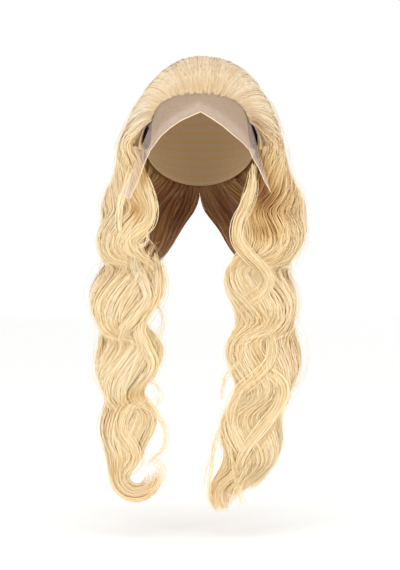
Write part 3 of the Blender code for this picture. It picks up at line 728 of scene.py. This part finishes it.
def lay_baby_hairs(field, rng):
    """Short fine hairs along the hairline, swept back over the roots of the long ones."""
    n = BABY_HAIRS
    t = np.linspace(0, 1, BABY_HAIR_POINTS)[None, :]
    share = rng.uniform(0, 1, (n, 1)) ** 0.8
    start = rng.uniform(*BABY_HAIR_START, (n, 1))
    run = start + rng.uniform(*BABY_HAIR_LENGTH, (n, 1)) * t
    step = run / step_length(field, share)
    bend = rng.normal(0, 0.10, (n, 1)) * t * (run - start) / (HEAD_HALF_WIDTH * 2)
    rise = 0.05 + rng.uniform(0.5, 1.2, (n, 1)) * t
    points, normal, _ = hair_place(field, np.clip(share + bend, 0, 1), rise, step)
    width = rng.uniform(*BABY_HAIR_WIDTH, (n, 1)) * (1 - 0.6 * t)
    tone = np.clip(rng.normal(BABY_HAIR_TONE, 0.10, (n, 1)) + 0.10 * t, 0.3, 0.95)
    return points, normal, width, tone


def front_of_hair(field):
    """Places all over the outside of the long hair."""
    steps = np.arange(HEAD_STEPS - BEND_STEPS, LAST_STEP, dtype=float)
    share, step = np.meshgrid(np.linspace(0, 1, SHARES * 2), steps, indexing="ij")
    return hair_place(field, share, 0.95, step)[0].reshape(-1, 3)


def front_y(surface, x, z):
    """How far in front the hair lies at a place seen from the front."""
    far = np.hypot((surface[:, 0] - x) / FRONT_WIDE, (surface[:, 2] - z) / FRONT_TALL)
    return surface[far < max(1, far.min() * 1.05), 1].min()


def lay_tress(tress, surface, rng):
    """Paths, facing, widths and tones of the strands of one lock that lies on the hair."""
    n = tress.strands
    path = np.array(tress.path) * MM
    lengths = lengths_along(path)
    fine = np.linspace(0, 1, PATH_SAMPLES)
    flat = curve(lengths / lengths[-1], path, fine)
    depth = np.array([front_y(surface, x, -drop) for x, drop in flat])
    even_out(depth[None], 1, PATH_SAMPLES - 1, TRESS_ROUNDS)
    line = np.stack([flat[:, 0], depth, -flat[:, 1]], -1)
    start = rng.uniform(0, TRESS_LATE, (n, 1))
    end = 1 - rng.uniform(0, 1, (n, 1)) ** TIP_FADE * TRESS_RAGGED
    t = start + (end - start) * np.linspace(0, 1, TRESS_POINTS)[None, :]
    middle = curve(fine, line, t)
    forward = np.array((0.0, -1.0, 0.0))
    sideways = unit(np.cross(unit(np.gradient(middle, axis=1)), forward))
    held = smooth_step(0, 0.22, t)
    if not tress.loose:
        held = held * (1 - smooth_step(0.78, 1, t))
    angle = rng.uniform(0, 2 * np.pi, (n, 1)) + rng.uniform(-1.6, 1.6) * t
    radius = np.minimum(np.abs(rng.normal(0, 0.62, (n, 1))), 1.6)
    a, b = np.cos(angle) * radius, np.sin(angle) * radius
    waves = t * rng.uniform(0.8, 2.2, (n, 1)) + rng.uniform(0, 1, (n, 1))
    stray = TRESS_STRAY * np.sin(2 * np.pi * waves)
    fan = 1 + 0.8 * tress.loose * smooth_step(0.3, 1, t)
    points = middle + sideways * (a * tress.wide * MM / 2 * (0.5 + 0.5 * held) * fan + stray)[..., None]
    lift = TRESS_LIFT * held - TRESS_SINK * (1 - held) + b * tress.thick * MM / 2
    points = points + forward * lift[..., None]
    facing = unit(forward + sideways * (a * 0.7 + rng.normal(0, 0.25, (n, 1)))[..., None])
    thin = 0.45 if tress.loose else 0.9
    width = TRESS_STRAND_WIDTH * thin * rng.uniform(0.55, 1.25, (n, 1)) * (1 - 0.7 * smooth_step(0.8, 1, t))
    # Painted shade: lighter on the front of the lock, darker where it sinks into the hair; the rest varies
    # at random
    tone = tress.tone + rng.normal(0, 0.09, (n, 1)) + 0.06 * b - 0.06 * (1 - held)
    return points, facing, width, np.clip(tone, *TONES)


def lay_tresses(field, tresses, rng):
    """The strands of all the locks that lie on one side, as one set."""
    surface = front_of_hair(field)
    laid = [lay_tress(tress, surface, rng) for tress in tresses]
    return [np.concatenate(parts) for parts in zip(*laid)]


def add_object(name, data):
    made = bpy.data.objects.new(name, data)
    bpy.context.scene.collection.objects.link(made)
    return made


def add_mesh(name, vertices, faces, uvs, material, normals=None):
    """A mesh piece from arrays, its faces in sets with one number of corners each."""
    corners = np.concatenate([part.ravel() for part in faces]).astype(np.int32)
    sizes = np.concatenate([np.full(len(part), part.shape[1]) for part in faces])
    mesh = bpy.data.meshes.new(name)
    mesh.vertices.add(len(vertices))
    mesh.vertices.foreach_set("co", np.ascontiguousarray(vertices, np.float32).ravel())
    mesh.loops.add(len(corners))
    mesh.loops.foreach_set("vertex_index", corners)
    mesh.polygons.add(len(sizes))
    mesh.polygons.foreach_set("loop_start", (np.cumsum(sizes) - sizes).astype(np.int32))
    mesh.uv_layers.new(name="OFBake").data.foreach_set("uv", uvs[corners].astype(np.float32).ravel())
    mesh.update(calc_edges=True)
    mesh.shade_smooth()
    if normals is not None:
        mesh.normals_split_custom_set_from_vertices(normals)
    mesh.materials.append(material)
    return add_object(name, mesh)


def quads(rows, columns, closed=False):
    """Faces of a grid of points, whose last column joins its first where it is closed."""
    i, j = np.meshgrid(np.arange(rows - 1), np.arange(columns if closed else columns - 1), indexing="ij")
    a, b = (i * columns + j).ravel(), (i * columns + (j + 1) % columns).ravel()
    return np.stack([a, b, b + columns, a + columns], -1)


def add_ribbons(name, paths, facing, widths, tones, material, start=MAP_ENDS[0]):
    """Thin flat strands along paths, each turned to its facing, from a start on the map of the hair."""
    n, k, _ = paths.shape
    sideways = unit(np.cross(np.gradient(paths, axis=1), facing))
    half = sideways * widths[..., None] / 2
    vertices = np.stack([paths - half, paths + half], 2).reshape(-1, 3)
    first = ((np.arange(n) * k)[:, None] + np.arange(k - 1)[None, :]).ravel() * 2
    faces = np.stack([first, first + 1, first + 3, first + 2], -1)
    along = np.broadcast_to(np.linspace(start, MAP_ENDS[1], k), (n, k))
    edges = [np.stack([tones + side * STRAND_ON_MAP, along], -1) for side in (-1, 1)]
    uvs = np.clip(np.stack(edges, 2).reshape(-1, 2), 0, 1)
    normals = np.repeat(unit(facing)[:, :, None, :], 2, axis=2).reshape(-1, 3)
    return add_mesh(name, vertices, [faces], uvs, material, normals)


def add_tube(name, rings, tones, material):
    """A closed form through rings of points, each with its tone."""
    r, c, _ = rings.shape
    vertices = np.concatenate([rings.reshape(-1, 3), rings[:1].mean(1), rings[-1:].mean(1)])
    around, last = np.arange(c), (r - 1) * c
    after = (around + 1) % c
    top = np.stack([around * 0 + r * c, after, around], -1)
    bottom = np.stack([around * 0 + r * c + 1, last + around, last + after], -1)
    along = np.broadcast_to(np.linspace(*MAP_ENDS, r)[:, None], (r, c))
    grid = np.stack([np.broadcast_to(tones, (r, c)), along], -1)
    uvs = np.concatenate([grid.reshape(-1, 2), grid[:1].mean(1), grid[-1:].mean(1)])
    return add_mesh(name, vertices, [quads(r, c, closed=True), top, bottom], uvs, material)


def add_sheet(name, grid, uvs, material):
    """A single-layer sheet through a grid of points."""
    return add_mesh(name, grid.reshape(-1, 3), [quads(*grid.shape[:2])], uvs.reshape(-1, 2), material)


def sheet_map(rows, columns):
    return np.stack(np.meshgrid(np.linspace(0, 1, columns), np.linspace(1, 0, rows)), -1)


def linear(code):
    """A colour from its hexadecimal code, as the shader takes it."""
    values = [int(code[i : i + 2], 16) / 255 for i in (0, 2, 4)]
    return (*[v / 12.92 if v <= 0.04045 else ((v + 0.055) / 1.055) ** 2.4 for v in values], 1)


def node(tree, kind, values=(), **settings):
    """A shader node with its settings and the values of its named or numbered inputs."""
    made = tree.nodes.new(kind)
    for key, value in settings.items():
        setattr(made, key, value)
    for key, value in dict(values).items():
        if isinstance(value, bpy.types.NodeSocket):
            tree.links.new(value, made.inputs[key])
        else:
            made.inputs[key].default_value = value
    return made


def sum_of(tree, a, b, operation="ADD", clamp=False):
    return node(tree, "ShaderNodeMath", {0: a, 1: b}, operation=operation, use_clamp=clamp).outputs[0]


def rescaled(tree, value, start, end, low=0.0, high=1.0):
    """A value moved from its range to another, and kept inside that."""
    ranges = {"Value": value, "From Min": start, "From Max": end, "To Min": low, "To Max": high}
    return node(tree, "ShaderNodeMapRange", ranges).outputs[0]


def ramp(tree, value, stops):
    made = node(tree, "ShaderNodeValToRGB", {"Fac": value})
    elements = made.color_ramp.elements
    while len(elements) < len(stops):
        elements.new(0.5)
    for element, (place, code) in zip(elements, stops):
        element.position = place
        element.color = linear(code)
    return made.outputs["Color"]


def mottle(tree, shader, noise, tints):
    """Colours a material between two tints by a fine noise."""
    fac = node(tree, "ShaderNodeTexNoise", noise).outputs["Fac"]
    colours = ((0.3, tints[0]), (0.7, tints[1]))
    tree.links.new(ramp(tree, fac, colours), shader.inputs["Base Color"])


def new_material(name, roughness, specular):
    """A material, its node tree and shader, the piece's map and the map's two directions."""
    material = bpy.data.materials.new(name)
    material.use_nodes = True
    tree = material.node_tree
    shader = tree.nodes["Principled BSDF"]
    shader.inputs["Roughness"].default_value = roughness
    shader.inputs["Specular IOR Level"].default_value = specular
    uv = node(tree, "ShaderNodeUVMap", uv_map="OFBake").outputs[0]
    return material, tree, shader, uv, node(tree, "ShaderNodeSeparateXYZ", {0: uv}).outputs


# Blond from deep red-brown, the colour of the painted shadow inside the hair and behind the neck, to pale
# cream
BLOND_AND_SHADOW_TONES = (
    (0.00, "4A200C"),
    (0.18, "8E5327"),
    (0.36, "C39452"),
    (0.54, "E0B97C"),
    (0.72, "EFCF97"),
    (0.88, "F8DFAF"),
    (1.00, "FDECCB"),
)


def strand_material():
    """Blond hair whose tone is the strand's place across the map, paler at the start of the strand, over
    the crown, as a painted sheen.
    """
    material, tree, shader, uv, (across, along, _) = new_material("strands", 0.42, 0.45)
    stretched = node(tree, "ShaderNodeMapping", {"Vector": uv, "Scale": (60, 9, 1)}).outputs[0]
    noise = node(tree, "ShaderNodeTexNoise", {"Vector": stretched, "Scale": 1.0, "Detail": 2.0})
    change = sum_of(tree, sum_of(tree, noise.outputs["Fac"], 0.5, "SUBTRACT"), 0.12, "MULTIPLY")
    colour = {
        "Color": ramp(tree, sum_of(tree, across, change, clamp=True), BLOND_AND_SHADOW_TONES),
        # Painted sheen: less colour and a little less brightness at the start of the strands, over the
        # crown
        "Saturation": rescaled(tree, along, *CROWN_SHEEN_ENDS, CROWN_SHEEN_SATURATION),
        "Value": rescaled(tree, along, *CROWN_SHEEN_ENDS, CROWN_SHEEN_BRIGHTNESS),
    }
    tree.links.new(node(tree, "ShaderNodeHueSaturation", colour).outputs[0], shader.inputs["Base Color"])
    return material


def cosine(tree, value):
    return node(tree, "ShaderNodeMath", {0: value}, operation="COSINE").outputs[0]


def net_pattern(tree, uv, cells):
    """Round holes set in a honeycomb: near 1 on the threads and 0 in the holes."""
    scaled = node(tree, "ShaderNodeMapping", {"Vector": uv, "Scale": (*cells, 1)}).outputs[0]
    total = 0
    for turn in np.radians((0, 60, 120)):
        direction = (2 * math.pi * math.cos(turn), 2 * math.pi * math.sin(turn), 0)
        dot = node(tree, "ShaderNodeVectorMath", {0: scaled, 1: direction}, operation="DOT_PRODUCT")
        total = sum_of(tree, cosine(tree, dot.outputs["Value"]), total)
    return total


def lace_material(cells):
    """Sheer net, denser in a band along its cut edge."""
    material, tree, shader, uv, (_, from_edge, _) = new_material("lace_net", 0.6, 0.3)
    threads = rescaled(tree, net_pattern(tree, uv, cells), -0.2, -0.8, 0.05, 0.5)
    band = rescaled(tree, from_edge, 0.06, 0.11, 0.16, 0.0)
    tree.links.new(sum_of(tree, threads, band, clamp=True), shader.inputs["Alpha"])
    mottle(tree, shader, {"Vector": uv, "Scale": 30.0}, ("E2CCBC", "EEDDD0"))
    return material


def cap_material():
    """Blond net with rows of sewn wefts from side to side."""
    material, tree, shader, uv, (_, down, _) = new_material("cap_net_look", 0.8, 0.2)
    rows = sum_of(tree, down, 2 * math.pi * CAP_WEFTS, "MULTIPLY")
    weft = rescaled(tree, cosine(tree, rows), 0.5, 0.8)
    net = rescaled(tree, net_pattern(tree, uv, CAP_CELLS), -0.2, -1.0)
    base = ramp(tree, net, ((0.0, "C2A37C"), (1.0, "EAD5B0")))
    mix = node(tree, "ShaderNodeMix", {0: weft, 6: base, 7: linear("D8B784")}, data_type="RGBA")
    tree.links.new(mix.outputs[2], shader.inputs["Base Color"])
    return material


def tab_material():
    material, tree, shader, uv, _ = new_material("tab_cloth_look", 0.85, 0.2)
    mottle(tree, shader, {"Vector": uv, "Scale": 90.0, "Detail": 2.0}, ("2C2226", "4A3B3F"))
    return material


def form_rings(field, start, end, rng):
    """Rings round one lock's mass, a little inside its solid, ridged along the hair."""
    turn = np.linspace(0, 2 * np.pi, FORM_SIDES, endpoint=False)[None, :]
    last = LAST_STEP - FORM_SHORT[field.side]
    step = np.linspace(HEAD_STEPS - 2, last, FORM_ROWS)[:, None]

    def squared(value):
        return np.sign(value) * np.abs(value) ** 0.8

    tip = 1 - 0.55 * smooth_step(last - FORM_TIP_STEPS, last, step)
    share = (start + end) / 2 + (end - start) / 2 * squared(np.cos(turn)) * tip
    ridge = rng.uniform(-1, 1, (1, FORM_SIDES))
    ridge = ridge + 0.4 * np.sin(step * 0.2 + rng.uniform(0, 6, (1, FORM_SIDES)))
    through = squared(np.sin(turn)) * tip * (0.80 + 0.05 * ridge)
    share, step = np.broadcast_arrays(share, step)
    rise = 0.5 + 0.5 * through
    points, _, _ = hair_place(field, share, rise, step)
    # Painted shade: darker towards the inner side of the form, plus the painted shade patches; the ridges
    # vary at random
    tones = FORM_TONE + 0.09 * ridge + 0.10 * (through - 1) + painted_shade_at(field.side, points, rise)
    return points, np.clip(tones, *FORM_TONES)


def add_crown_form(fields, rng, material):
    """The mass of hair over the head, as one closed layer."""
    rows, columns = CROWN_FORM_GRID
    place = np.linspace(-1, 1, columns)
    skins, tones = [], np.empty((rows, columns))
    for low, high in CROWN_FORM_RISES:
        skin = np.empty((rows, columns, 3))
        for side, field in fields.items():
            mine = np.where(place >= 0 if side > 0 else place < 0)[0]
            share, down = np.meshgrid(1 - np.abs(place[mine]), np.linspace(0, 1, rows))
            behind = CROWN_FORM_BEHIND / step_length(field, share)
            step = behind + (HEAD_STEPS - 0.5 - behind) * down
            ridge = rng.uniform(-0.04, 0.04, (1, len(mine)))
            rise = low + (high - low) * smooth_step(0, 0.12, share)
            points, _, _ = hair_place(field, share, rise, step)
            skin[:, mine] = points
            # The painted shade patches darken the crown form as well
            tones[:, mine] = np.clip(FORM_TONE + ridge * 2 + painted_shade_at(side, points, rise), *FORM_TONES)
        skins.append(skin)
    c = columns * 2
    x = np.arange(columns - 1)
    end = np.stack([x, x + 1, c - 2 - x, c - 1 - x], -1)
    faces = [quads(rows, c, closed=True)[:, [0, 3, 2, 1]], end, end + (rows - 1) * c]
    vertices = np.concatenate([skins[0], skins[1][:, ::-1]], axis=1).reshape(-1, 3)
    along = np.broadcast_to(np.linspace(MAP_ENDS[0], CROWN_MAP_END, rows)[:, None], (rows, c))
    uvs = np.stack([np.concatenate([tones, tones[:, ::-1]], axis=1), along], -1).reshape(-1, 2)
    return add_mesh("crown_hair_form", vertices, faces, uvs, material)


def lace_points(column, after, share):
    """Points of the lace from the seam under the hair to its cut edge, between two of its columns."""
    ends = []
    for end in (column, after):
        drop = end.edge_drop * (LACE_TAIL_DROP if end.loose else CROWN_HEIGHT)
        edge = (end.edge_x * HEAD_HALF_WIDTH, -LACE_TAIL_FORWARD * end.loose, -drop)
        ends.append(np.array((*end[:3], *edge)))
    seam, root_x, root_drop, edge_x, edge_y, edge_z = ends[0] + (ends[1] - ends[0]) * share
    start = lune(math.radians(SEAM_OVER), seam * math.radians(SEAM_ACROSS))
    middle = face_direction(root_x * HEAD_HALF_WIDTH, -root_drop * CROWN_HEIGHT, LACE_MIDDLE)
    points = []
    for i in range(LACE_HIDDEN_ROWS):
        toward = start * (1 - i / LACE_HIDDEN_ROWS) + middle * i / LACE_HIDDEN_ROWS
        points.append(on_head(unit(toward), LACE_MIDDLE))
    root = on_head(middle, LACE_MIDDLE)
    edge = np.array((edge_x, edge_y - LACE_MIDDLE + LACE_BASE, edge_z))
    for i in range(LACE_SHOWN_ROWS + 1):
        x, y, z = root + (edge - root) * (i / LACE_SHOWN_ROWS)
        points.append(np.array((x, min(y, -face_depth(x, z, LACE_MIDDLE)), z)))
    return points


def add_lace():
    """The lace sheet, its cut edge, its flat size and its area."""
    columns = []
    for column, after in zip(LACE_COLUMNS, LACE_COLUMNS[1:]):
        columns += [lace_points(column, after, i / LACE_BETWEEN) for i in range(LACE_BETWEEN)]
    columns.append(lace_points(LACE_COLUMNS[-1], LACE_COLUMNS[-1], 0))
    grid = np.array(columns).transpose(1, 0, 2)
    width = lengths_along(grid[LACE_HIDDEN_ROWS])
    length = np.stack([lengths_along(column) for column in columns], 1)
    u = np.broadcast_to(width / width[-1], length.shape)
    v = (length[-1:] - length) / length.max()
    material = lace_material((width[-1] / LACE_CELL, length.max() / LACE_CELL))
    lace = add_sheet("lace", grid, np.stack([u, v], -1), material)
    crossed = np.cross(grid[1:, 1:] - grid[:-1, :-1], grid[1:, :-1] - grid[:-1, 1:])
    area = float(np.linalg.norm(crossed, axis=2).sum() / 2)
    return lace, grid[-1], (float(lengths_along(grid[-1])[-1]), float(length.max())), area


def add_edge_line(edge, material):
    """A fine rolled line along the cut edge of the lace."""
    out = unit(edge * np.array((1, 1, 0)))
    down = unit(np.cross(unit(np.gradient(edge, axis=0)), out))
    turns = np.linspace(0, 2 * math.pi, EDGE_LINE_SIDES, endpoint=False)
    wide, tall = out * EDGE_LINE_OUT, down * EDGE_LINE_DOWN
    rings = [edge + (wide * math.cos(turn) + tall * math.sin(turn)) for turn in turns]
    return add_tube("lace_edge", np.stack(rings, 1), EDGE_LINE_TONE, material)


def add_cap(material):
    rows, columns = CAP_GRID
    over = np.radians(np.linspace(*CAP_OVER, rows))
    across = np.radians(np.linspace(-CAP_ACROSS, CAP_ACROSS, columns))
    grid = on_head(lune(*np.meshgrid(over, across, indexing="ij")), CAP_BASE + CAP_WALL / 2)
    cap = add_sheet("cap_net_form", grid, sheet_map(rows, columns), material)
    thicken(cap, CAP_WALL)
    return cap


def thicken(piece, wall):
    """Gives a sheet its wall, half on each side."""
    solid = piece.modifiers.new("wall", "SOLIDIFY")
    solid.thickness = wall
    solid.offset = 0


def tab_row(side, share):
    """Points of an ear tab from its front to its back, at a share of the way down."""
    front, back = table(EAR_TAB_ROWS, share, "front_turn", "back_turn")
    z = -EAR_TAB_TOP - EAR_TAB_HEIGHT * share
    level = z + CROWN_HEIGHT
    offset = CAP_BASE + CAP_WALL / 2
    tall = (CROWN_HEIGHT if level >= 0 else JAW_DEPTH) + offset
    rest = 1 - abs(level / tall) ** HEAD_FULLNESS
    turn = np.radians(np.linspace(front, back, EAR_TAB_GRID[1]))
    x, y = np.sin(turn), -np.cos(turn)
    sizes = np.array((HEAD_HALF_WIDTH, HEAD_HALF_LENGTH)) + offset
    reach = (rest / (np.abs(np.stack([x, y], -1) / sizes) ** HEAD_FULLNESS).sum(-1)) ** (1 / HEAD_FULLNESS)
    return np.stack([side * x * reach, y * reach, np.full(len(turn), z)], -1)


def add_tab(name, side, material):
    grid = np.array([tab_row(side, share) for share in np.linspace(0, 1, EAR_TAB_GRID[0])])
    tab = add_sheet(name, grid, sheet_map(*EAR_TAB_GRID), material)
    thicken(tab, CAP_WALL)
    return tab


def add_softbox(softbox):
    """A soft light turned towards its target."""
    light = bpy.data.lights.new(softbox.name, "AREA")
    light.shape = "RECTANGLE"
    light.size, light.size_y = softbox.size
    light.energy = softbox.power
    made = add_object(softbox.name, light)
    made.location = softbox.place
    x, y, z = np.array(softbox.target) - np.array(softbox.place)
    made.rotation_euler = (math.pi / 2 - math.atan2(-z, math.hypot(x, y)), 0, math.atan2(-x, y))
    return made


def add_studio():
    """White floor and surroundings, and soft lights from the front."""
    x, y = np.meshgrid((-FLOOR_REACH, FLOOR_REACH), (-FLOOR_REACH, FLOOR_REACH))
    material, tree, shader, _, _ = new_material("floor_white", 0.9, 0.1)
    mottle(tree, shader, {"Scale": 3.0}, ("FDFDFC", "FFFFFF"))
    floor = add_sheet("floor", np.stack([x, y, x * 0 + FLOOR], -1), sheet_map(2, 2), material)
    lights = [add_softbox(softbox) for softbox in SOFTBOXES]
    world = bpy.data.worlds.new("studio")
    bpy.context.scene.world = world
    world.use_nodes = True
    background = world.node_tree.nodes["Background"]
    background.inputs["Color"].default_value = (1, 1, 1, 1)
    background.inputs["Strength"].default_value = 1.0


def add_camera():
    """Level with the middle of the hair, straight from the front."""
    camera = bpy.data.cameras.new("camera")
    camera.sensor_fit = "VERTICAL"
    camera.sensor_height = SENSOR_HEIGHT
    camera.lens = SENSOR_HEIGHT * CAMERA_DISTANCE / PICTURE_HEIGHT
    made = add_object("camera", camera)
    made.location = (0, -CAMERA_DISTANCE, CAMERA_LEVEL)
    made.rotation_euler = (math.pi / 2, 0, 0)
    bpy.context.scene.camera = made


def main():
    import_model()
    rng = np.random.default_rng(SEED)
    fields = {side: make_field(side) for side in (-1, 1)}
    strands = strand_material()

    def keep(piece, slot, *nodes):
        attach(piece, "root")
        if nodes:
            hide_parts(*nodes)
        return piece

    keep(add_crown_form(fields, rng, strands), "blond_hair", "crown_hair")
    for side, field in fields.items():
        word = "right" if side > 0 else "left"
        for lock in LOCKS:
            laid = form_rings(field, lock.start, lock.end, rng)
            keep(add_tube(f"{word}_{lock.name}_form", *laid, strands), "blond_hair", f"{word}_{lock.name}")
        for layer in LAYERS:
            laid = lay_clumps(field, layer, rng)
            keep(add_ribbons(f"{word}_{layer.name}_strands", *laid, strands), "blond_hair")
        laid = lay_baby_hairs(field, rng)
        keep(add_ribbons(f"{word}_baby_hairs", *laid, strands), "blond_hair")
        laid = lay_tresses(field, RIGHT_TRESSES if side > 0 else LEFT_TRESSES, rng)
        keep(add_ribbons(f"{word}_tresses", *laid, strands, TRESS_MAP_START), "blond_hair")
        keep(add_tab(f"{word}_ear_tab_cloth", side, tab_material()), "tab_cloth", f"{word}_ear_tab")
    cap = keep(add_cap(cap_material()), "cap_net", "cap")
    lace, edge, flat, area = add_lace()
    keep(lace, "lace", "lace_front")
    line = keep(add_edge_line(edge, strands), "lace")
    add_studio()
    add_camera()
    bpy.context.scene.view_settings.view_transform = "Standard"


main()
